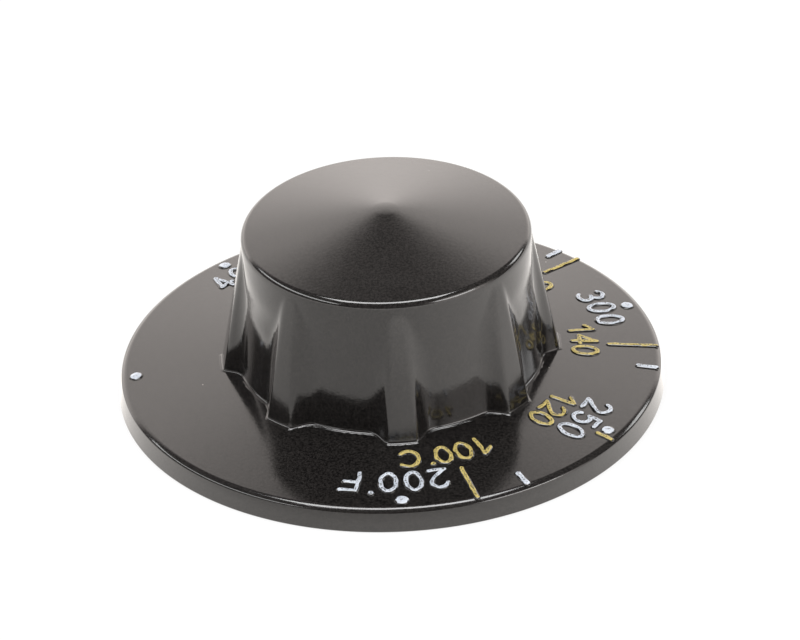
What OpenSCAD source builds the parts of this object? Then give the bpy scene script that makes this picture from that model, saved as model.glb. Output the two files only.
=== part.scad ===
// Fryer thermostat knob: one phenolic moulding with a dial flange, raised scale marks and
// a ribbed grip, a spring clip in its D socket, and ink on the marks.
// Millimetres. The flange's underside is on z = 0 and the shaft axis is the Z axis.

/* [Flange] */
// Diameter of the dial flange at its underside
flange_d = 76.2; // [72:0.1:86]
// Height of the flange's rim
rim_h = 3.3; // [2.4:0.1:4.5]
// How far the rim leans in from its foot to its upper edge
rim_lean = 0.5; // [0.2:0.1:1]
// Rounding of the rim's upper edge
rim_edge_r = 0.45; // [0.2:0.05:0.8]
// Slope of the dial face, rising toward the grip, in degrees
face_slope = 6; // [2:0.5:8]

/* [Grip] */
// Height of the grip's upper edge above the underside
edge_h = 24.8; // [20:0.1:32]
// Diameter across the grip's upper edge
grip_top_d = 40.1; // [36:0.1:44]
// Diameter of the wall between the ribs, at the dial face
grip_foot_d = 42; // [41:0.1:46]
// Rise of the shallow crown above the upper edge
crown_rise = 3.6; // [1.5:0.1:6]
// Rounding of the grip's upper edge
top_edge_r = 1; // [0.4:0.1:1.2]
// Rounding of the crown's tip
crown_tip_r = 10.5; // [3:0.5:12]

/* [Ribs] */
// Number of ribs round the grip
rib_count = 8; // [6:1:10]
// Diameter over the ribs, at the dial face
rib_foot_d = 46.4; // [44.5:0.1:50]
// Width of a rib's outer face at its run-out
rib_top_w = 2.1; // [1.6:0.1:3.4]
// Width of a rib's outer face at the dial face
rib_foot_w = 4.2; // [3:0.1:5.5]
// How much each flank leans out toward the wall, in degrees
flank_lean = 31; // [20:1:40]
// Drop from the upper edge to where the ribs run out
rib_drop = 1.5; // [1.2:0.1:3]

/* [Hollow and hub] */
// Thickness of the grip's wall between the ribs
grip_wall = 3.2; // [2.4:0.1:4.2]
// Thickness of the grip's top at its upper edge
top_wall = 3.6; // [2.6:0.1:5]
// Diameter of the hub
hub_d = 14; // [13:0.1:17]
// Gap from the underside's plane up to the hub's end
hub_gap = 1; // [0.5:0.1:2]
// Number of webs from the hub to the wall
web_count = 4; // [3:1:4]
// Thickness of a web
web_t = 2.2; // [1.6:0.1:3]
// Gap from the underside's plane up to the webs' edges
web_gap = 3; // [1:0.1:6]

/* [Shaft socket] */
// Diameter of the thermostat's shaft
shaft_d = 6.35; // [5.8:0.05:6.6]
// Height of the shaft across its flat
shaft_flat = 5.2; // [4.8:0.05:5.5]
// Clearance on diameter round the shaft
shaft_fit = 0.1; // [0.05:0.01:0.3]
// Depth of the socket from the recess floor
socket_depth = 14; // [12:0.5:15]
// Diameter of the thermostat's bushing nose
nose_d = 9.5; // [9:0.1:10.2]
// Clearance on diameter round the bushing nose
nose_fit = 0.25; // [0.1:0.01:0.4]
// Depth of the recess for the bushing nose
nose_depth = 2.5; // [1.5:0.1:4]

/* [Shaft clip] */
// Thickness of the clip's spring steel
clip_t = 0.4; // [0.3:0.05:0.6]
// Width of the clip
clip_w = 3.6; // [2.5:0.1:4.2]
// Length of the clip's bowed leg
clip_leg = 10; // [8:0.5:11]
// Bow of the leg toward the shaft
clip_bow = 0.6; // [0.4:0.05:0.8]
// Reach of the clip's foot past the back of its slot
clip_foot = 1.2; // [1:0.05:1.4]
// Inside radius of the bend at the foot
clip_bend_r = 0.4; // [0.3:0.05:0.5]
// Clearance at the sides and the ends of the clip
clip_gap = 0.1; // [0.05:0.05:0.2]
// How far the bow stands past the shaft's flat, for grip
clip_bite = 0.15; // [0.05:0.05:0.3]

/* [Scale marks] */
// Height of the raised marks above the dial face
mark_h = 0.2; // [0.1:0.05:0.4]
// Thickness of the ink on the raised marks
ink_t = 0.05; // [0.03:0.01:0.1]
// Distance from the rim's upper edge in to the middle of the dots
dot_inset = 1.9; // [1.4:0.1:3]
// Diameter of the dots
dot_d = 1.8; // [1:0.1:2.2]
// Width of the white ticks
white_tick_w = 0.85; // [0.5:0.05:1.2]
// Length of the white ticks
white_tick = 3.2; // [1.5:0.1:4]
// Width of the yellow ticks
yellow_tick_w = 0.65; // [0.4:0.05:1]
// Length of the long yellow ticks
long_tick = 7.2; // [4:0.1:9]
// Length of the short yellow ticks
short_tick = 2.8; // [1.5:0.1:4]

/* [Hidden] */
$fn = 96;
past = 1; // how far cutting shapes run past a face
blend = 0.001; // how far a rounding stands proud of its edges, so that their curves cross

flange_r = flange_d / 2;
rim_r = flange_r - rim_lean;
function face_z(r) = rim_h + (rim_r - r) * tan(face_slope);

top_r = grip_top_d / 2;
foot_r = grip_foot_d / 2;
foot_z = face_z(foot_r);
wall_lean = (foot_r - top_r) / (edge_h - foot_z);
function wall_r(z) = top_r + (edge_h - z) * wall_lean;

rib_foot_r = rib_foot_d / 2;
rib_foot_z = face_z(rib_foot_r);
rib_top_z = edge_h - rib_drop;
rib_top_r = wall_r(rib_top_z);
rib_lean = (rib_foot_r - rib_top_r) / (rib_top_z - rib_foot_z);
rib_narrowing = (rib_foot_w - rib_top_w) / 2 + tan(flank_lean) * (rib_foot_r - rib_top_r);
flank_rise = rib_narrowing / (rib_top_z - rib_foot_z);

ceiling_z = edge_h - top_wall;
recess_z = hub_gap + nose_depth;
socket_r = (shaft_d + shaft_fit) / 2;
nose_r = (nose_d + nose_fit) / 2;
flat_x = shaft_flat - shaft_d / 2 + shaft_fit / 2;

// The clip's leg is an arc whose back stands off the slot's back by the bow
clip_back_x = flat_x - clip_bite + clip_bow + clip_t;
bow_r = (pow(clip_leg / 2, 2) + pow(clip_bow, 2)) / (2 * clip_bow);
bow_angle = asin(clip_leg / 2 / bow_r);
leg_low = clip_t + clip_bend_r * (1 - sin(bow_angle));
leg_high = leg_low + clip_leg + clip_t * sin(bow_angle);

tick_end_r = rim_r - rim_edge_r;
dot_r = rim_r - dot_inset;

// Places round the dial, in degrees: the off dot, then 200 to 400 in steps of 25
white_dots = [180, -91.7, -37.6, 16.5, 72.2, 127.9];
white_ticks = [-64.3, -10, 45.3, 100];
// 100, 140 and 160 degrees Celsius, then 120, 180 and 200
long_yellow_ticks = [-75.8, -1.2, 40];
short_yellow_ticks = [-40, 79, 118.5];

// Rounded corners of a profile, each from its tangent points and its circle
function unit(v) = v / norm(v);
function half_angle(a, p, b) = acos(unit(a - p) * unit(b - p)) / 2;
function setback(a, p, b, r) = r / tan(half_angle(a, p, b));
function toward(p, q, d) = p + unit(q - p) * d;
function middle(a, p, b, r) = p + unit(unit(a - p) + unit(b - p)) * r / sin(half_angle(a, p, b));

// Half section of the moulding without its ribs
module outer_profile() {
    axis_foot = [0, 0];
    rim_foot = [flange_r, 0];
    rim_top = [rim_r, rim_h];
    grip_foot = [foot_r, foot_z];
    grip_top = [top_r, edge_h];
    crown = [0, edge_h + crown_rise];
    rim_back = setback(rim_foot, rim_top, grip_foot, rim_edge_r);
    top_back = setback(grip_foot, grip_top, crown, top_edge_r);
    tip_angle = atan(crown_rise / top_r);
    tip_z = crown[1] - crown_tip_r / cos(tip_angle);
    polygon([
        axis_foot,
        rim_foot,
        toward(rim_top, rim_foot, rim_back),
        toward(rim_top, grip_foot, rim_back),
        grip_foot,
        toward(grip_top, grip_foot, top_back),
        toward(grip_top, crown, top_back),
        [crown_tip_r * sin(tip_angle), tip_z + crown_tip_r * cos(tip_angle)],
        [0, tip_z + crown_tip_r * cos(tip_angle)],
    ]);
    translate(middle(rim_foot, rim_top, grip_foot, rim_edge_r)) circle(rim_edge_r + blend);
    translate(middle(grip_foot, grip_top, crown, top_edge_r)) circle(top_edge_r + blend);
    intersection() {
        translate([0, tip_z]) circle(crown_tip_r + blend);
        translate([0, tip_z - past]) square(2 * crown_tip_r);
    }
}

// Half space behind one flank plane of the rib on +X
module behind_flank() {
    size = 4 * rib_foot_d;
    turn = 90 - flank_lean;
    rise = atan(flank_rise * cos(flank_lean));
    translate([rib_foot_r, rib_foot_w / 2, rib_foot_z])
        rotate([0, -rise, turn])
            translate([-size, -size / 2, -size / 2])
                cube(size);
}

// One rib on +X: its face lies on a cone and its flanks are drafted planes
module rib() {
    intersection() {
        translate([0, 0, rim_h])
            cylinder(
                r1 = rib_foot_r + (rib_foot_z - rim_h) * rib_lean,
                r2 = rib_top_r - rib_drop / 2 * rib_lean,
                h = rib_top_z + rib_drop / 2 - rim_h
            );
        behind_flank();
        mirror([0, 1, 0]) behind_flank();
        translate([top_r / 2, -rib_foot_r / 2, 0]) cube([rib_foot_r, rib_foot_r, edge_h]);
    }
}

// Space under the grip, between the hub, the webs and the wall
module hollow() {
    difference() {
        translate([0, 0, -past])
            cylinder(
                r1 = wall_r(-past) - grip_wall,
                r2 = wall_r(ceiling_z) - grip_wall,
                h = ceiling_z + past
            );
        translate([0, 0, hub_gap]) cylinder(d = hub_d, h = edge_h);
        for (i = [0 : web_count - 1])
            rotate([0, 0, i * 360 / web_count])
                translate([0, -web_t / 2, web_gap])
                    cube([foot_r, web_t, edge_h]);
    }
}

// Recess for the bushing nose, D socket, and the clip's slot with room for its bend and foot
module shaft_socket() {
    slot_w = clip_w + 2 * clip_gap;
    relief = clip_bend_r + clip_gap;
    translate([0, 0, hub_gap - past]) cylinder(r = nose_r, h = nose_depth + past);
    difference() {
        translate([0, 0, recess_z - past]) cylinder(r = socket_r, h = socket_depth + past);
        translate([flat_x, -socket_r, recess_z]) cube([socket_r, 2 * socket_r, socket_depth + past]);
    }
    translate([0, -slot_w / 2, recess_z - past]) {
        cube([clip_back_x, slot_w, past + leg_high + clip_gap]);
        cube([clip_back_x + relief, slot_w, past + clip_t + relief]);
        cube([clip_back_x + clip_foot + clip_gap, slot_w, past + clip_t]);
    }
}

module knob_body() {
    color("#1b191a")
        difference() {
            union() {
                rotate_extrude() outer_profile();
                for (i = [0 : rib_count - 1])
                    rotate([0, 0, i * 360 / rib_count]) rib();
                on_dial(-mark_h, mark_h) {
                    white_outlines();
                    yellow_outlines();
                }
            }
            hollow();
            shaft_socket();
        }
}

// Flat sector round a centre between two angles under 180 degrees apart
module sector(center, r, from, to) {
    mid = (from + to) / 2;
    translate(center)
        polygon([
            [0, 0],
            r * [cos(from), sin(from)],
            r / cos((to - from) / 2) * [cos(mid), sin(mid)],
            r * [cos(to), sin(to)],
        ]);
}

// Part of a flat ring whose inner radius and thickness are given
module bent_strip(center, r, from, to) {
    intersection() {
        translate(center)
            difference() {
                circle(r + clip_t, $fn = 720);
                circle(r, $fn = 720);
            }
        sector(center, 2 * (r + clip_t), from, to);
    }
}

// Side view of the clip, drawn with the slot's back on x = 0 and its foot on y = 0
module clip_profile() {
    leg_center = [bow_r - clip_bow, leg_low + clip_leg / 2];
    bend_center = [clip_bend_r * cos(bow_angle), clip_t + clip_bend_r];
    bent_strip(leg_center, bow_r, 180 - bow_angle, 180 + bow_angle);
    bent_strip(bend_center, clip_bend_r, 180 + bow_angle, 270);
    translate([bend_center[0], 0]) square([clip_foot - bend_center[0], clip_t]);
}

module shaft_clip() {
    color("#a9a9a6")
        translate([clip_back_x, clip_w / 2, recess_z])
            rotate([90, 0, 0]) linear_extrude(clip_w) clip_profile();
}

// A tall tick or dot, which the dial's skin cuts to its height
module tick(angle, length, width) {
    rotate([0, 0, angle])
        translate([tick_end_r - length, -width / 2, 0]) cube([length, width, edge_h]);
}

module dot(angle) {
    rotate([0, 0, angle]) translate([dot_r, 0, 0]) cylinder(d = dot_d, h = edge_h);
}

module white_outlines() {
    for (angle = white_dots) dot(angle);
    for (angle = white_ticks) tick(angle, white_tick, white_tick_w);
}

module yellow_outlines() {
    for (angle = long_yellow_ticks) tick(angle, long_tick, yellow_tick_w);
    for (angle = short_yellow_ticks) tick(angle, short_tick, yellow_tick_w);
}

// What lies between two heights above the dial face
module on_dial(low, high) {
    intersection() {
        rotate_extrude()
            polygon([
                [foot_r, face_z(foot_r) + low],
                [tick_end_r, face_z(tick_end_r) + low],
                [tick_end_r, face_z(tick_end_r) + high],
                [foot_r, face_z(foot_r) + high],
            ]);
        union() children();
    }
}

module white_marks() {
    color("#dfe3ea") on_dial(mark_h, mark_h + ink_t) white_outlines();
}

module yellow_marks() {
    color("#a8953a") on_dial(mark_h, mark_h + ink_t) yellow_outlines();
}

knob_body();
shaft_clip();
white_marks();
yellow_marks();
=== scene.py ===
import math

import bmesh
import bpy
from mathutils import Matrix, Vector, noise


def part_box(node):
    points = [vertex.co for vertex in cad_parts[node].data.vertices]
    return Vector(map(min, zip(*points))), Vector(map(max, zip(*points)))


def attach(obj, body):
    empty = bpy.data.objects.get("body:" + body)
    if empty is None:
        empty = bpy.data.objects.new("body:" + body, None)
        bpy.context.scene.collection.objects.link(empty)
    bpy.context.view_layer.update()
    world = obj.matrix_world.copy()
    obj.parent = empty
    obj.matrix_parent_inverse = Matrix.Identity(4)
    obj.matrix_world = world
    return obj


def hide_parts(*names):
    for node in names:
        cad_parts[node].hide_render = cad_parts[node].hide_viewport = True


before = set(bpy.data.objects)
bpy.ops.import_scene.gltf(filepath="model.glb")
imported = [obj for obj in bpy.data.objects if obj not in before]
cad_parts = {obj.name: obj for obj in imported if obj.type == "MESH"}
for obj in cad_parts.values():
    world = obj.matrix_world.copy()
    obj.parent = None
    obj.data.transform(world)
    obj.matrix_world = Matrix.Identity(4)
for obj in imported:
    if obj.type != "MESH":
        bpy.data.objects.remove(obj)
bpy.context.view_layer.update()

# The knob's body is one compression moulding in black phenolic: a dial flange, a hollow grip with
# eight ribs, and inside the grip a hub with a socket for the thermostat's shaft. The mould is
# polished steel, so the faces are glossy, and every edge and corner keeps a small radius.
mm = 0.001
body_low, body_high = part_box("knob_body")
flange_r = body_high.x
crown_z = body_high.z
rim_h = 3.3 * mm
rim_r = flange_r - 0.5 * mm
dial_slope = math.tan(math.radians(6))
grip_top_r = 20.05 * mm
grip_foot_r = 21 * mm
edge_z = 24.8 * mm
crown_slope = 3.6 * mm / grip_top_r
crown_tip_r = 10.5 * mm
rib_count = 8
rib_step = math.tau / rib_count
rib_foot_r = 23.5 * mm
rib_foot_half = 2.1 * mm
rib_top_half = 1.05 * mm
rib_top_z = edge_z - 1.5 * mm
foot_flank_lean = math.tan(math.radians(31))
top_flank_lean = math.tan(math.radians(52))
rib_edge = 0.45 * mm
rib_fillet = 1.1 * mm
foot_fillet = 0.3 * mm
land_w = 0.3 * mm
land_h = 0.04 * mm
land_end_r = grip_foot_r + land_w + 0.15 * mm
land_stray = 0.2 * mm
turn_down_r = 37.08 * mm
turn_down_z = 2.94 * mm
grip_wall = 3.2 * mm
ceiling_z = edge_z - 3.6 * mm
hub_r = 7 * mm
hub_z = 1 * mm
recess_r = 4.875 * mm
recess_z = 3.5 * mm
socket_r = 3.225 * mm
socket_z = 17.5 * mm
calm_r = 27.5 * mm
steps_per_rib = 64


def dial_z(r):
    """Height of the dial's face at a distance from the axis."""
    return rim_h + (rim_r - r) * dial_slope


foot_z = dial_z(grip_foot_r)
rib_foot_z = dial_z(rib_foot_r)
wall_lean = (grip_foot_r - grip_top_r) / (edge_z - foot_z)
upper_lean = math.tan(math.radians(0.2))
flare_lean = math.tan(math.radians(5.2))
flare_foot_r = grip_foot_r + 0.2 * mm


def straight_r(z):
    """Distance from the axis to a straight line down the grip's wall."""
    return grip_top_r + (edge_z - z) * wall_lean


def eased_max(a, b, width):
    """The larger of two values, rounded off where they are closer than the width."""
    overlap = max(width - abs(a - b), 0) / width
    return max(a, b) + overlap * overlap * width / 4


def wall_r(z):
    """Distance from the axis to the grip's wall between the ribs, which flares towards its foot."""
    upper = grip_top_r + (edge_z - z) * upper_lean
    flare = flare_foot_r - (z - foot_z) * flare_lean
    return eased_max(upper, flare, 0.12 * mm)


rib_lean = (rib_foot_r - wall_r(rib_top_z)) / (rib_top_z - rib_foot_z)


def grip_r(angle, z):
    """Distance from the axis to the grip's face, with its ribs, their edges and their fillets."""
    wall = wall_r(z)
    face = rib_foot_r - (z - rib_foot_z) * rib_lean
    stand = face - wall
    if stand <= 0:
        return wall
    off = abs((angle + rib_step / 2) % rib_step - rib_step / 2)
    up = (z - rib_foot_z) / (rib_top_z - rib_foot_z)
    half = rib_foot_half + (rib_top_half - rib_foot_half) * up
    flank_lean = foot_flank_lean + (top_flank_lean - foot_flank_lean) * up
    flank = (half + face * flank_lean) / (math.sin(off) + flank_lean * math.cos(off))
    rib = -eased_max(-face, -flank, rib_edge)
    return eased_max(wall, rib, min(rib_fillet, stand))


def crowded(angle):
    """Turns the even steps of a spin so that most of them lie on the ribs' flanks."""
    rib = round(angle / rib_step) * rib_step
    share = abs(angle - rib) / (rib_step / 2)
    face_steps, flank_steps = 0.12, 0.74
    face_angle, flank_angle = 0.14, 0.48
    if share < face_steps:
        turned = share / face_steps * face_angle
    elif share < flank_steps:
        turned = face_angle + (share - face_steps) / (flank_steps - face_steps) * (flank_angle - face_angle)
    else:
        turned = flank_angle + (share - flank_steps) / (1 - flank_steps) * (1 - flank_angle)
    return rib + math.copysign(turned * rib_step / 2, angle - rib)


tip_width = crown_tip_r * math.tan(math.atan(crown_slope) / 2)
corners = [
    (0, crown_z, 0),
    (tip_width, crown_z, crown_tip_r),
    (grip_top_r, edge_z, 1 * mm),
    (grip_foot_r, foot_z + land_h, foot_fillet),
    (grip_foot_r + land_w, dial_z(grip_foot_r + land_w) + land_h, 0.1 * mm),
    (land_end_r, dial_z(land_end_r), 0.1 * mm),
    (calm_r, dial_z(calm_r), 0),
    (turn_down_r, dial_z(turn_down_r), 1 * mm),
    (flange_r - turn_down_z * (flange_r - rim_r) / rim_h, turn_down_z, 0.45 * mm),
    (flange_r, 0, 0.2 * mm),
    (straight_r(0) - grip_wall, 0, 0.4 * mm),
    (straight_r(ceiling_z) - grip_wall, ceiling_z, 1.2 * mm),
    (hub_r, ceiling_z, 1 * mm),
    (hub_r, hub_z, 0.3 * mm),
    (recess_r, hub_z, 0.3 * mm),
    (recess_r, recess_z, 0.2 * mm),
    (socket_r, recess_z, 0.3 * mm),
    (socket_r, socket_z, 0.3 * mm),
    (0, socket_z, 0),
]
bm = bmesh.new()
outline = [bm.verts.new((r, 0, z)) for r, z, rounding in corners]
sides = [bm.edges.new(pair) for pair in zip(outline, outline[1:])]
for vert, (r, z, rounding) in zip(outline, corners):
    if rounding:
        ways = [edge.other_vert(vert).co - vert.co for edge in vert.link_edges]
        setback = rounding / math.tan(ways[0].angle(ways[1]) / 2)
        bmesh.ops.bevel(
            bm, geom=[vert], offset=setback, offset_type="OFFSET", segments=6, profile=0.5,
            affect="VERTICES", material=-1,
        )
wall_sides = [
    edge for edge in bm.edges
    if min(v.co.z for v in edge.verts) > foot_z and min(v.co.x for v in edge.verts) > grip_top_r
    and edge.calc_length() > 5 * mm
]
bmesh.ops.subdivide_edges(bm, edges=wall_sides, cuts=38)
bmesh.ops.spin(
    bm, geom=bm.verts[:] + bm.edges[:], cent=(0, 0, 0), axis=(0, 0, 1), angle=math.tau,
    steps=rib_count * steps_per_rib, use_merge=True,
)
bmesh.ops.remove_doubles(bm, verts=bm.verts[:], dist=0.001 * mm)
settle_h = 4 * mm
for vert in bm.verts:
    r = vert.co.xy.length
    z = vert.co.z
    angle = crowded(math.atan2(vert.co.y, vert.co.x))
    foot_push = grip_r(angle, foot_z) - grip_foot_r
    if z >= foot_z and r > straight_r(z) - 1 * mm:
        settled = max(1 - (z - foot_z) / settle_h, 0)
        z -= foot_push * dial_slope * settled
        r += grip_r(angle, max(z, rib_foot_z)) - straight_r(z)
    elif z > rim_h and r > grip_foot_r:
        near = min(max((calm_r - r) / (calm_r - land_end_r), 0), 1)
        stray = noise.noise((math.cos(angle) * 40, math.sin(angle) * 40, 0)) * land_stray
        pushed_r = r + near * (foot_push + stray * min((r - grip_foot_r) / land_w, 1))
        z -= (pushed_r - r) * dial_slope
        r = pushed_r
    vert.co = (r * math.cos(angle), r * math.sin(angle), z)
bmesh.ops.recalc_face_normals(bm, faces=bm.faces[:])
moulding_mesh = bpy.data.meshes.new("moulding")
bm.to_mesh(moulding_mesh)
bm.free()
moulding = bpy.data.objects.new("moulding", moulding_mesh)
bpy.context.scene.collection.objects.link(moulding)

# Four webs tie the hub to the grip's wall, and a flat in the socket drives the shaft. The webs'
# edges stop short of the underside. The slot behind the flat holds the spring clip, with room at
# its foot for the clip's bend.
web_t = 2.2 * mm
web_z = 3 * mm
flat_x = 2.075 * mm
slot_w = 3.8 * mm
slot_x = 2.925 * mm
slot_z = 14.4 * mm
bend_room = 0.5 * mm
foot_x = 4.225 * mm
foot_top_z = recess_z + 0.4 * mm


def add_block(bm, low, high, rounding):
    """A block between two corners with rounded edges."""
    made = bmesh.ops.create_cube(bm, size=1)["verts"]
    bmesh.ops.scale(bm, vec=Vector(high) - Vector(low), verts=made)
    bmesh.ops.translate(bm, vec=(Vector(high) + Vector(low)) / 2, verts=made)
    edges = [edge for edge in bm.edges if edge.verts[0] in made]
    bmesh.ops.bevel(
        bm, geom=edges, offset=rounding, segments=3, profile=0.5, affect="EDGES", material=-1,
    )


def apply_tool(piece, tool_bm, operation):
    """Joins a solid to a piece or cuts it out, and leaves a plain mesh."""
    tool_mesh = bpy.data.meshes.new("tool")
    tool_bm.to_mesh(tool_mesh)
    tool_bm.free()
    tool = bpy.data.objects.new("tool", tool_mesh)
    bpy.context.scene.collection.objects.link(tool)
    work = piece.modifiers.new(operation, "BOOLEAN")
    work.operation = operation
    work.solver = "MANIFOLD"
    work.object = tool
    worked = piece.evaluated_get(bpy.context.evaluated_depsgraph_get())
    piece.data = bpy.data.meshes.new_from_object(worked)
    piece.modifiers.clear()
    bpy.data.objects.remove(tool)


added = bmesh.new()
for quarter in range(4):
    start = len(added.verts)
    add_block(added, (5.6 * mm, -web_t / 2, web_z), (19 * mm, web_t / 2, ceiling_z + 1 * mm), 0.25 * mm)
    added.verts.ensure_lookup_table()
    bmesh.ops.rotate(
        added, cent=(0, 0, 0), matrix=Matrix.Rotation(quarter * math.pi / 2, 3, "Z"),
        verts=added.verts[start:],
    )
add_block(added, (flat_x, -3 * mm, recess_z + 0.1 * mm), (4.6 * mm, 3 * mm, socket_z + 1 * mm), 0.15 * mm)
apply_tool(moulding, added, "UNION")
cut = bmesh.new()
add_block(cut, (0, -slot_w / 2, recess_z - 1 * mm), (slot_x, slot_w / 2, slot_z), 0.1 * mm)
add_block(
    cut, (0, -slot_w / 2, recess_z - 1 * mm),
    (slot_x + bend_room, slot_w / 2, foot_top_z + bend_room), 0.1 * mm,
)
add_block(cut, (0, -slot_w / 2, recess_z - 1 * mm), (foot_x, slot_w / 2, foot_top_z), 0.1 * mm)
apply_tool(moulding, cut, "DIFFERENCE")
for polygon in moulding.data.polygons:
    polygon.use_smooth = True
moulding.data.set_sharp_from_angle(angle=math.radians(40))
shading = moulding.modifiers.new("flat_faces_stay_flat", "WEIGHTED_NORMAL")
shading.keep_sharp = True


def linear(colour):
    """An sRGB colour, written in hex, as linear red, green, blue and alpha."""
    parts = [int(colour[i : i + 2], 16) / 255 for i in (1, 3, 5)]
    return [c / 12.92 if c <= 0.04045 else ((c + 0.055) / 1.055) ** 2.4 for c in parts] + [1]


def add_node(tree, kind, sockets, **settings):
    """Adds a node, sets it up, and fills its sockets with values or with other nodes' outputs."""
    made = tree.nodes.new(kind)
    for name, value in settings.items():
        setattr(made, name, value)
    for name, value in sockets.items():
        if isinstance(value, bpy.types.NodeSocket):
            tree.links.new(value, made.inputs[name])
        else:
            made.inputs[name].default_value = value
    return made


# Black phenolic as it leaves a polished mould: a deep gloss with a faint orange-peel waviness,
# a fine grain of filler under the skin, and specks of pale dust. The grain is drawn 0.3 mm wide,
# because its real size is too fine to show.
phenolic = bpy.data.materials.new("moulded_black_phenolic")
phenolic.use_nodes = True
tree = phenolic.node_tree
place = add_node(tree, "ShaderNodeTexCoord", {}).outputs["Object"]
mottle = add_node(tree, "ShaderNodeTexNoise", {"Vector": place, "Scale": 1 / (6 * mm), "Detail": 4})
peel = add_node(tree, "ShaderNodeTexNoise", {"Vector": place, "Scale": 1 / (0.5 * mm), "Detail": 3})
filler = add_node(tree, "ShaderNodeTexNoise", {"Vector": place, "Scale": 1 / (0.3 * mm), "Detail": 2})
filler_share = add_node(
    tree, "ShaderNodeMapRange", {"Value": filler.outputs["Fac"], "From Min": 0.35, "From Max": 0.65},
)
tone = add_node(
    tree, "ShaderNodeMix",
    {0: filler_share.outputs["Result"], 6: linear("#0c0b0b"), 7: linear("#262423")},
    data_type="RGBA",
)
dust = add_node(tree, "ShaderNodeTexVoronoi", {"Vector": place, "Scale": 1 / (2.4 * mm)})
dust_pick = add_node(tree, "ShaderNodeSeparateColor", {"Color": dust.outputs["Color"]})
dust_size = add_node(
    tree, "ShaderNodeMapRange",
    {"Value": dust_pick.outputs["Red"], "From Min": 0.8, "From Max": 1, "To Min": 0, "To Max": 0.055},
)
dust_here = add_node(
    tree, "ShaderNodeMath",
    {0: dust.outputs["Distance"], 1: dust_size.outputs["Result"]}, operation="LESS_THAN",
)
dusty_tone = add_node(
    tree, "ShaderNodeMix",
    {0: dust_here.outputs[0], 6: tone.outputs[2], 7: linear("#8a8681")},
    data_type="RGBA",
)
haze = add_node(
    tree, "ShaderNodeMapRange",
    {"Value": mottle.outputs["Fac"], "From Min": 0.3, "From Max": 0.7, "To Min": 0.09, "To Max": 0.15},
)
relief = add_node(
    tree, "ShaderNodeBump",
    {"Height": peel.outputs["Fac"], "Strength": 0.28, "Distance": 0.02 * mm},
)
gloss = tree.nodes["Principled BSDF"]
gloss.inputs["IOR"].default_value = 1.68
tree.links.new(dusty_tone.outputs[2], gloss.inputs["Base Color"])
tree.links.new(haze.outputs["Result"], gloss.inputs["Roughness"])
tree.links.new(relief.outputs["Normal"], gloss.inputs["Normal"])
moulding.data.materials.clear()
moulding.data.materials.append(phenolic)
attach(moulding, "root")
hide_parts("knob_body")

# The scale is part of the same moulding: dots, ticks and figures stand up from the dial as low
# half-round beads, cut into the mould by hand. The outer row reads degrees Fahrenheit and the
# inner row degrees Celsius.
bead_h = 0.22 * mm
white_line = 0.66 * mm
yellow_line = 0.64 * mm
bead_spare = 0.25 * mm
knot_step = 0.25 * mm
white_size = (2.12 * mm, 3.68 * mm)
yellow_size = (2.05 * mm, 3.35 * mm)
tick_end_r = 37.4 * mm
dot_r = 35.6 * mm
dot_d = 1.8 * mm


def arc(x, y, width, height, start, end):
    """Points along part of an ellipse, from one angle in degrees to another."""
    count = max(round(abs(end - start) / 15), 2)
    turns = [math.radians(start + (end - start) * i / count) for i in range(count + 1)]
    return [(x + width / 2 * math.cos(t), y + height / 2 * math.sin(t)) for t in turns]


# Each figure is its strokes, in a box one wide and one high round its middle.
figures = {
    "0": [arc(0, 0, 1, 1, 0, 345)],
    "1": [[(-0.4, 0.2), (0.18, 0.5)], [(0.18, 0.5), (0.18, -0.5)]],
    "2": [arc(0, 0.2, 1, 0.6, 165, -40) + [(-0.5, -0.5)], [(-0.5, -0.5), (0.5, -0.5)]],
    "3": [arc(-0.02, 0.25, 0.9, 0.5, 145, -90), arc(-0.02, -0.25, 1, 0.5, 90, -150)],
    "4": [[(0.2, 0.5), (0.2, -0.5)], [(0.2, 0.5), (-0.5, -0.2)], [(-0.5, -0.2), (0.5, -0.2)]],
    "5": [[(0.42, 0.5), (-0.36, 0.5)], [(-0.36, 0.5), (-0.4, 0.1)], arc(0, -0.17, 1, 0.66, 140, -150)],
    "6": [arc(0.04, 0, 1.08, 1, 50, 180), arc(0, -0.19, 1, 0.62, 0, 345)],
    "8": [arc(0, 0.25, 0.88, 0.5, 0, 345), arc(0, -0.25, 1, 0.5, 0, 345)],
    "C": [arc(0, 0, 1.35, 1, 45, 315)],
    "F": [[(0.5, 0.5), (-0.5, 0.5)], [(-0.5, 0.5), (-0.5, -0.5)], [(-0.5, 0.03), (0.34, 0.03)]],
    "ring": [arc(0, 0, 1, 1, 0, 330)],
    "dot": [[(-0.01, 0), (0.01, 0)]],
    "tick": [[(0, 0.5), (0, -0.5)]],
}


def dense(points):
    """The same line with a point at least every knot step."""
    placed = []
    for a, b in zip(points, points[1:]):
        count = max(round((b - a).length / knot_step), 1)
        placed += [a.lerp(b, i / count) for i in range(count)]
    return placed + [points[-1]]


def with_round_ends(points, half):
    """Points with the share of the full radius at each, past both ends of the line as a dome."""
    reach = [0.98, 0.87, 0.66, 0.35]
    back = (points[0] - points[1]).normalized() * half
    on = (points[-1] - points[-2]).normalized() * half
    start = [(points[0] + back * s, math.sqrt(1 - s * s)) for s in reach]
    end = [(points[-1] + on * s, math.sqrt(1 - s * s)) for s in reversed(reach)]
    return start + [(point, 1) for point in points] + end


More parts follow.
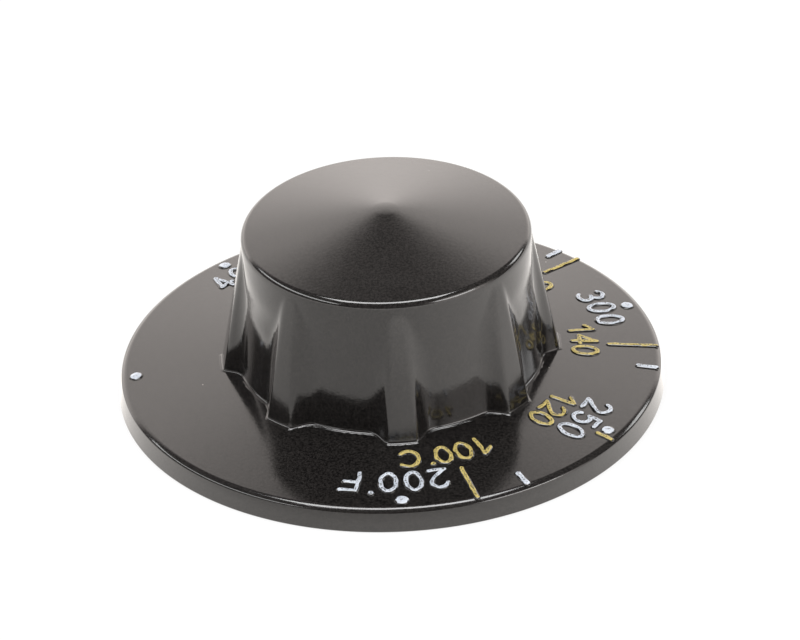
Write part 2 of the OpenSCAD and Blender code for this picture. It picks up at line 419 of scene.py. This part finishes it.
def add_figure(bm, name, angle, mid_r, size, line, height, ragged=0, lean=0):
    """Lays a figure on the dial as half-sunk beads, its top outwards and reading clockwise.

    The crest attribute tells how near a point is to the top of its bead.
    """
    curve = bpy.data.curves.new("strokes", "CURVE")
    curve.dimensions = "3D"
    curve.bevel_depth = line / 2
    curve.bevel_resolution = 3
    for stroke in figures[name]:
        path = dense([Vector((x * size[0], y * size[1])) for x, y in stroke])
        closed = len(path) > 8 and (path[0] - path[-1]).length < line
        rings = [(point, 1) for point in path] if closed else with_round_ends(path, line / 2)
        spline = curve.splines.new("POLY")
        spline.points.add(len(rings) - 1)
        spline.use_cyclic_u = closed
        for knot, (point, radius) in zip(spline.points, rings):
            knot.co = (point.x, point.y, 0, 1)
            knot.radius = radius
    holder = bpy.data.objects.new("strokes", curve)
    flat = bpy.data.meshes.new_from_object(holder)
    bpy.data.objects.remove(holder)
    first = len(bm.verts)
    bm.from_mesh(flat)
    bm.verts.ensure_lookup_table()
    crest = bm.verts.layers.float.get("crest") or bm.verts.layers.float.new("crest")
    turn = math.radians(angle)
    outward = Vector((math.cos(turn), math.sin(turn)))
    onward = Vector((math.sin(turn), -math.cos(turn)))
    for vert in bm.verts[first:]:
        x, y, z = vert.co
        vert[crest] = abs(z) / (line / 2)
        shift = noise.noise_vector((x / mm, y / mm, angle)) * ragged
        spot = outward * (mid_r + y + shift.y) + onward * (x + y * lean + shift.x)
        vert.co = (spot.x, spot.y, dial_z(spot.length) + z / (line / 2) * height)


def add_marks(bm, marks, spare, height, ragged=0):
    """Lays a list of marks, each widened by the same spare width, and closes the strokes' ends."""
    for name, angle, mid_r, size, line, lean in marks:
        add_figure(bm, name, angle, mid_r, size, line + spare, height, ragged, lean)
    bmesh.ops.holes_fill(bm, edges=bm.edges[:], sides=0)
    bm.normal_update()
    bmesh.ops.recalc_face_normals(bm, faces=bm.faces[:])


def tick(angle, length, line, lean=0):
    """A radial tick that ends at the dial's edge."""
    mid_r = tick_end_r - length / 2
    return ("tick", angle, mid_r, (0, length - line), line, lean)


def number(text, angle, mid_r, pitch, size, line):
    """A number's figures, side by side round a middle angle."""
    start = angle + pitch * (len(text) - 1) / 2
    return [(figure, start - pitch * i, mid_r, size, line, 0) for i, figure in enumerate(text)]


white_numbers = {"200": -88.5, "250": -37.1, "300": 17.1, "350": 72.9, "400": 128.4}
white_marks = [
    ("F", -104.1, 31.8 * mm, (2.25 * mm, 3.6 * mm), white_line, 0),
    ("ring", -98.6, 34.1 * mm, (0.45 * mm, 0.45 * mm), 0.4 * mm, 0),
]
for text, angle in white_numbers.items():
    white_marks += number(text, angle, 31.85 * mm, 6.2, white_size, white_line)
for angle in (180, -91.7, -37.6, 16.5, 72.2, 127.9):
    white_marks.append(("dot", angle, dot_r, (dot_d, dot_d), dot_d, 0))
for angle in (-64.3, -10, 45.3, 100):
    white_marks.append(tick(angle, 3.2 * mm, 0.85 * mm))

yellow_numbers = {"100": -72.8, "120": -38.6, "140": 0.9, "160": 40.2, "180": 79.6, "200": 119.2}
yellow_marks = [
    ("C", -88.95, 27.1 * mm, (2.1 * mm, 3.2 * mm), yellow_line, 0),
    ("ring", -82.4, 28.7 * mm, (0.4 * mm, 0.4 * mm), 0.35 * mm, 0),
]
for text, angle in yellow_numbers.items():
    yellow_marks += number(text, angle, 27.15 * mm, 6.05, yellow_size, yellow_line)
for angle in (-75.8, -1.2, 40):
    yellow_marks.append(tick(angle, 7.2 * mm, yellow_line))
for angle in (-40, 79, 118.5):
    yellow_marks.append(tick(angle, 2.8 * mm, yellow_line))

bm = bmesh.new()
add_marks(bm, white_marks + yellow_marks, bead_spare, bead_h)
scale_mesh = bpy.data.meshes.new("raised_scale")
bm.to_mesh(scale_mesh)
bm.free()
scale_mesh.shade_smooth()
raised_scale = bpy.data.objects.new("raised_scale", scale_mesh)
bpy.context.scene.collection.objects.link(raised_scale)
raised_scale.data.materials.append(phenolic)
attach(raised_scale, "root")
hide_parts("knob_body")


# The white ink is wiped over the raised Fahrenheit marks with a roller. It sits on their tops,
# a little ragged at its border and missing in specks; along the middle of each stroke it is darkened as
# painted shade.
ink_t = 0.03 * mm
ink_spare = 0.1 * mm
ragged_edge = 0.07 * mm
ink_speck = 0.22 * mm
ragged_seed = 1
noise.seed_set(ragged_seed)


def ink_material(name, ink, thin_ink, missing):
    """Matt roller ink over black, with specks missing, and darkened towards black along each stroke's crest
    as painted shade.
    """
    material = bpy.data.materials.new(name)
    material.use_nodes = True
    tree = material.node_tree
    place = add_node(tree, "ShaderNodeTexCoord", {}).outputs["Object"]
    crest = add_node(tree, "ShaderNodeAttribute", {}, attribute_name="crest").outputs["Fac"]
    specks = add_node(tree, "ShaderNodeTexNoise", {"Vector": place, "Scale": 1 / ink_speck, "Detail": 3})
    patches = add_node(tree, "ShaderNodeTexNoise", {"Vector": place, "Scale": 1 / (1.6 * mm), "Detail": 2})
    # Painted shade: towards each stroke's crest the ink gives way to black, which draws a dark line down its
    # middle.
    crest_painted_shade = add_node(
        tree, "ShaderNodeMapRange", {"Value": crest, "From Min": 0.75, "From Max": 1, "To Max": 0.22},
    )
    specks_and_crest_shade = add_node(
        tree, "ShaderNodeMath",
        {0: specks.outputs["Fac"], 1: crest_painted_shade.outputs["Result"]}, operation="ADD",
    )
    ink_cover_less_crest_shade = add_node(
        tree, "ShaderNodeMapRange",
        {"Value": specks_and_crest_shade.outputs[0], "From Min": missing, "From Max": missing + 0.1, "To Min": 1, "To Max": 0},
    )
    shade = add_node(
        tree, "ShaderNodeMix",
        {0: patches.outputs["Fac"], 6: linear(ink), 7: linear(thin_ink)},
        data_type="RGBA",
    )
    colour = add_node(
        tree, "ShaderNodeMix",
        {0: ink_cover_less_crest_shade.outputs["Result"], 6: linear("#2a2726"), 7: shade.outputs[2]},
        data_type="RGBA",
    )
    relief = add_node(
        tree, "ShaderNodeBump",
        {"Height": specks.outputs["Fac"], "Strength": 0.3, "Distance": 0.03 * mm},
    )
    matt = tree.nodes["Principled BSDF"]
    matt.inputs["Roughness"].default_value = 0.5
    tree.links.new(colour.outputs[2], matt.inputs["Base Color"])
    tree.links.new(relief.outputs["Normal"], matt.inputs["Normal"])
    return material


def ink_piece(name, marks, material, node):
    """One colour's ink, on all of its marks."""
    bm = bmesh.new()
    add_marks(bm, marks, ink_spare, bead_h + ink_t, ragged_edge)
    mesh = bpy.data.meshes.new(name)
    bm.to_mesh(mesh)
    bm.free()
    mesh.shade_smooth()
    mesh.materials.append(material)
    piece = bpy.data.objects.new(name, mesh)
    bpy.context.scene.collection.objects.link(piece)
    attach(piece, "root")
    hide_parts(node)


white_ink = ink_material("white_roller_ink", "#dbe1ea", "#a4acb8", 0.68)
ink_piece("white_ink", white_marks, white_ink, "white_marks")

# The Celsius marks carry a dull yellow ink, laid on in the same way and thinner, so that more of
# the black shows through it.
yellow_ink = ink_material("yellow_roller_ink", "#cebb70", "#a2914d", 0.68)
ink_piece("yellow_ink", yellow_marks, yellow_ink, "yellow_marks")

# The shaft clip is a bent strip of spring steel, pushed up into its slot behind the flat, where it
# grips the shaft. Its CAD solid is its true shape.
spring_steel = bpy.data.materials.new("bright_rolled_spring_steel")
spring_steel.use_nodes = True
tree = spring_steel.node_tree
place = add_node(tree, "ShaderNodeTexCoord", {}).outputs["Object"]
along = add_node(
    tree, "ShaderNodeMapping", {"Vector": place, "Scale": (1 / (0.15 * mm), 1 / (0.15 * mm), 1 / (4 * mm))},
)
grain = add_node(tree, "ShaderNodeTexNoise", {"Vector": along.outputs["Vector"], "Scale": 1, "Detail": 3})
tone = add_node(
    tree, "ShaderNodeMix",
    {0: grain.outputs["Fac"], 6: linear("#9c9c9a"), 7: linear("#b6b6b2")},
    data_type="RGBA",
)
metal = tree.nodes["Principled BSDF"]
metal.inputs["Metallic"].default_value = 1
metal.inputs["Roughness"].default_value = 0.32
tree.links.new(tone.outputs[2], metal.inputs["Base Color"])
for material_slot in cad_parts["shaft_clip"].material_slots:
    material_slot.material = spring_steel

# The knob lies on a white sweep. The camera and the gloss see the sweep nearly pure white, and
# the rest of its colour keeps the knob's faint shadow. For the gloss the sweep's glow is painted light:
# brighter towards its sides and behind than in front, with extra glow round the knob, and warm.
floor_half = 3
bm = bmesh.new()
bmesh.ops.create_grid(bm, x_segments=1, y_segments=1, size=floor_half)
bmesh.ops.translate(bm, vec=(0, 0, -0.02 * mm), verts=bm.verts[:])
floor_mesh = bpy.data.meshes.new("floor")
bm.to_mesh(floor_mesh)
bm.free()
floor = bpy.data.objects.new("floor", floor_mesh)
bpy.context.scene.collection.objects.link(floor)
paper = bpy.data.materials.new("white_paper_sweep")
paper.use_nodes = True
tree = paper.node_tree
rays = add_node(tree, "ShaderNodeLightPath", {})
seen = add_node(
    tree, "ShaderNodeMath",
    {0: rays.outputs["Is Camera Ray"], 1: rays.outputs["Is Glossy Ray"]},
    operation="ADD",
)
seen_through = add_node(
    tree, "ShaderNodeMath",
    {0: seen.outputs[0], 1: rays.outputs["Is Transmission Ray"]}, operation="ADD", use_clamp=True,
)
share = add_node(tree, "ShaderNodeMath", {0: seen_through.outputs[0], 1: 0.85}, operation="MULTIPLY")
# Painted light for the gloss: the sweep's glow grows away from a point in front of the knob, and a further
# painted glow lies round the knob, weakest at its front, all tinted warm.
spot = add_node(tree, "ShaderNodeTexCoord", {}).outputs["Object"]
from_front = add_node(
    tree, "ShaderNodeVectorMath",
    {0: spot, 1: (-0.04, -0.06, 0)}, operation="DISTANCE",
)
from_knob = add_node(tree, "ShaderNodeVectorMath", {0: spot}, operation="LENGTH")
painted_side_brightening = add_node(
    tree, "ShaderNodeMapRange",
    {"Value": from_front.outputs["Value"], "From Min": 0.03, "From Max": 0.1, "To Min": 0.92, "To Max": 1.5},
)
from_rim = add_node(tree, "ShaderNodeVectorMath", {0: spot, 1: (0, -0.04, 0)}, operation="DISTANCE")
painted_rim_dimming = add_node(
    tree, "ShaderNodeMapRange",
    {"Value": from_rim.outputs["Value"], "From Min": 0.015, "From Max": 0.052, "To Min": 0.3, "To Max": 1},
)
painted_glow_round_knob = add_node(
    tree, "ShaderNodeMapRange",
    {"Value": from_knob.outputs["Value"], "From Min": 0.042, "From Max": 0.047,
     "To Min": painted_rim_dimming.outputs["Result"], "To Max": 0},
)
painted_gloss_glow_total = add_node(
    tree, "ShaderNodeMath",
    {0: painted_side_brightening.outputs["Result"], 1: painted_glow_round_knob.outputs["Result"]}, operation="ADD",
)
painted_glow_for_gloss = add_node(
    tree, "ShaderNodeMix",
    {0: rays.outputs["Is Glossy Ray"], 2: 1, 3: painted_gloss_glow_total.outputs[0]},
)
warm_tint = add_node(
    tree, "ShaderNodeMix",
    {0: rays.outputs["Is Glossy Ray"], 6: (1, 1, 1, 1), 7: linear("#fffaf5")},
    data_type="RGBA",
)
glow = add_node(
    tree, "ShaderNodeEmission", {"Color": warm_tint.outputs[2], "Strength": painted_glow_for_gloss.outputs[0]},
)
tree.nodes["Principled BSDF"].inputs["Base Color"].default_value = linear("#f4f4f4")
tree.nodes["Principled BSDF"].inputs["Roughness"].default_value = 0.9
blend = add_node(
    tree, "ShaderNodeMixShader",
    {0: share.outputs[0], 1: tree.nodes["Principled BSDF"].outputs["BSDF"], 2: glow.outputs["Emission"]},
)
tree.links.new(blend.outputs["Shader"], tree.nodes["Material Output"].inputs["Surface"])
floor.data.materials.append(paper)

# The studio: the sweep rises behind the knob as a broad bright wall that fades upwards, the room
# above and behind the camera is dim, a softbox hangs overhead and one stands at each side. The
# camera itself sees plain white.
far_turn = math.radians(92)
world = bpy.data.worlds.new("studio")
bpy.context.scene.world = world
world.use_nodes = True
tree = world.node_tree
way = add_node(tree, "ShaderNodeTexCoord", {}).outputs["Generated"]
parts = add_node(tree, "ShaderNodeSeparateXYZ", {"Vector": way})
away = add_node(
    tree, "ShaderNodeVectorMath",
    {0: way, 1: (math.cos(far_turn), math.sin(far_turn), 0)}, operation="DOT_PRODUCT",
)
below_top = add_node(
    tree, "ShaderNodeMapRange",
    {"Value": parts.outputs["Z"], "From Min": math.sin(math.radians(34)),
     "From Max": math.sin(math.radians(56)), "To Min": 1, "To Max": 0},
    interpolation_type="SMOOTHSTEP",
)
ahead = add_node(
    tree, "ShaderNodeMapRange",
    {"Value": away.outputs["Value"], "From Min": 0.55, "From Max": 0.72, "To Min": 0, "To Max": 1},
    interpolation_type="SMOOTHSTEP",
)
lit = add_node(
    tree, "ShaderNodeMath",
    {0: below_top.outputs["Result"], 1: ahead.outputs["Result"]}, operation="MULTIPLY",
)
wall_light = add_node(
    tree, "ShaderNodeMapRange",
    {"Value": parts.outputs["Z"], "From Min": math.sin(math.radians(8)),
     "From Max": math.sin(math.radians(30)), "To Min": 2.3, "To Max": 1.65},
)
room = add_node(
    tree, "ShaderNodeMapRange",
    {"Value": lit.outputs[0], "To Min": 0.15, "To Max": wall_light.outputs["Result"]},
)
window_turn, window_height = math.radians(-35), math.radians(12)
window_way = (
    math.cos(window_height) * math.cos(window_turn),
    math.cos(window_height) * math.sin(window_turn),
    math.sin(window_height),
)
window_side = add_node(
    tree, "ShaderNodeVectorMath", {0: way, 1: window_way}, operation="DOT_PRODUCT",
)
window_light = add_node(
    tree, "ShaderNodeMapRange",
    {"Value": window_side.outputs["Value"], "From Min": math.cos(math.radians(32)),
     "From Max": math.cos(math.radians(8)), "To Min": 0, "To Max": 2},
    interpolation_type="SMOOTHSTEP",
)
level = add_node(
    tree, "ShaderNodeMath",
    {0: room.outputs["Result"], 1: window_light.outputs["Result"]}, operation="ADD",
)
rays = add_node(tree, "ShaderNodeLightPath", {})
seen = add_node(
    tree, "ShaderNodeMath",
    {0: rays.outputs["Is Camera Ray"], 1: rays.outputs["Is Transmission Ray"]},
    operation="ADD", use_clamp=True,
)
strength = add_node(tree, "ShaderNodeMix", {0: seen.outputs[0], 2: level.outputs[0], 3: 1})
warm_tint = add_node(
    tree, "ShaderNodeMix",
    {0: seen.outputs[0], 6: linear("#fff7f2"), 7: (1, 1, 1, 1)},
    data_type="RGBA",
)
tree.links.new(warm_tint.outputs[2], tree.nodes["Background"].inputs["Color"])
tree.links.new(strength.outputs[0], tree.nodes["Background"].inputs["Strength"])

softbox_away = 0.8
for name, turn, height, wide, high, radiance in (
    ("overhead_softbox", 90, 89, 0.62, 0.32, 9),
    ("left_softbox", 188, 33, 1.1, 0.16, 5),
    ("right_softbox", -42, 21, 0.45, 0.12, 7),
    ("far_right_softbox", 27, 25, 0.2, 0.2, 5),
):
    softbox = bpy.data.lights.new(name, "AREA")
    softbox.shape = "RECTANGLE"
    softbox.size = wide
    softbox.size_y = high
    softbox.energy = radiance * math.pi * wide * high
    stand = bpy.data.objects.new(name, softbox)
    turn, height = math.radians(turn), math.radians(height)
    stand.location = Vector(
        (math.cos(height) * math.cos(turn), math.cos(height) * math.sin(turn), math.sin(height))
    ) * softbox_away
    stand.rotation_euler = stand.location.to_track_quat("Z", "Y").to_euler()
    stand.visible_camera = False
    bpy.context.scene.collection.objects.link(stand)

# The camera looks down on the knob from the front with a long lens, as the photograph does.
lens_data = bpy.data.cameras.new("camera")
lens_data.sensor_width = 36
lens_data.lens = 270
camera = bpy.data.objects.new("camera", lens_data)
camera.matrix_world = (
    Matrix.Rotation(math.radians(-3), 4, "Z")
    @ Matrix.Rotation(math.radians(90 - 31.82), 4, "X")
    @ Matrix.Rotation(math.radians(-2.167), 4, "Z")
    @ Matrix.Translation((1.144 * mm, 8.514 * mm, 838.9 * mm))
)
bpy.context.scene.collection.objects.link(camera)
bpy.context.scene.camera = camera
bpy.context.scene.view_settings.view_transform = "Standard"
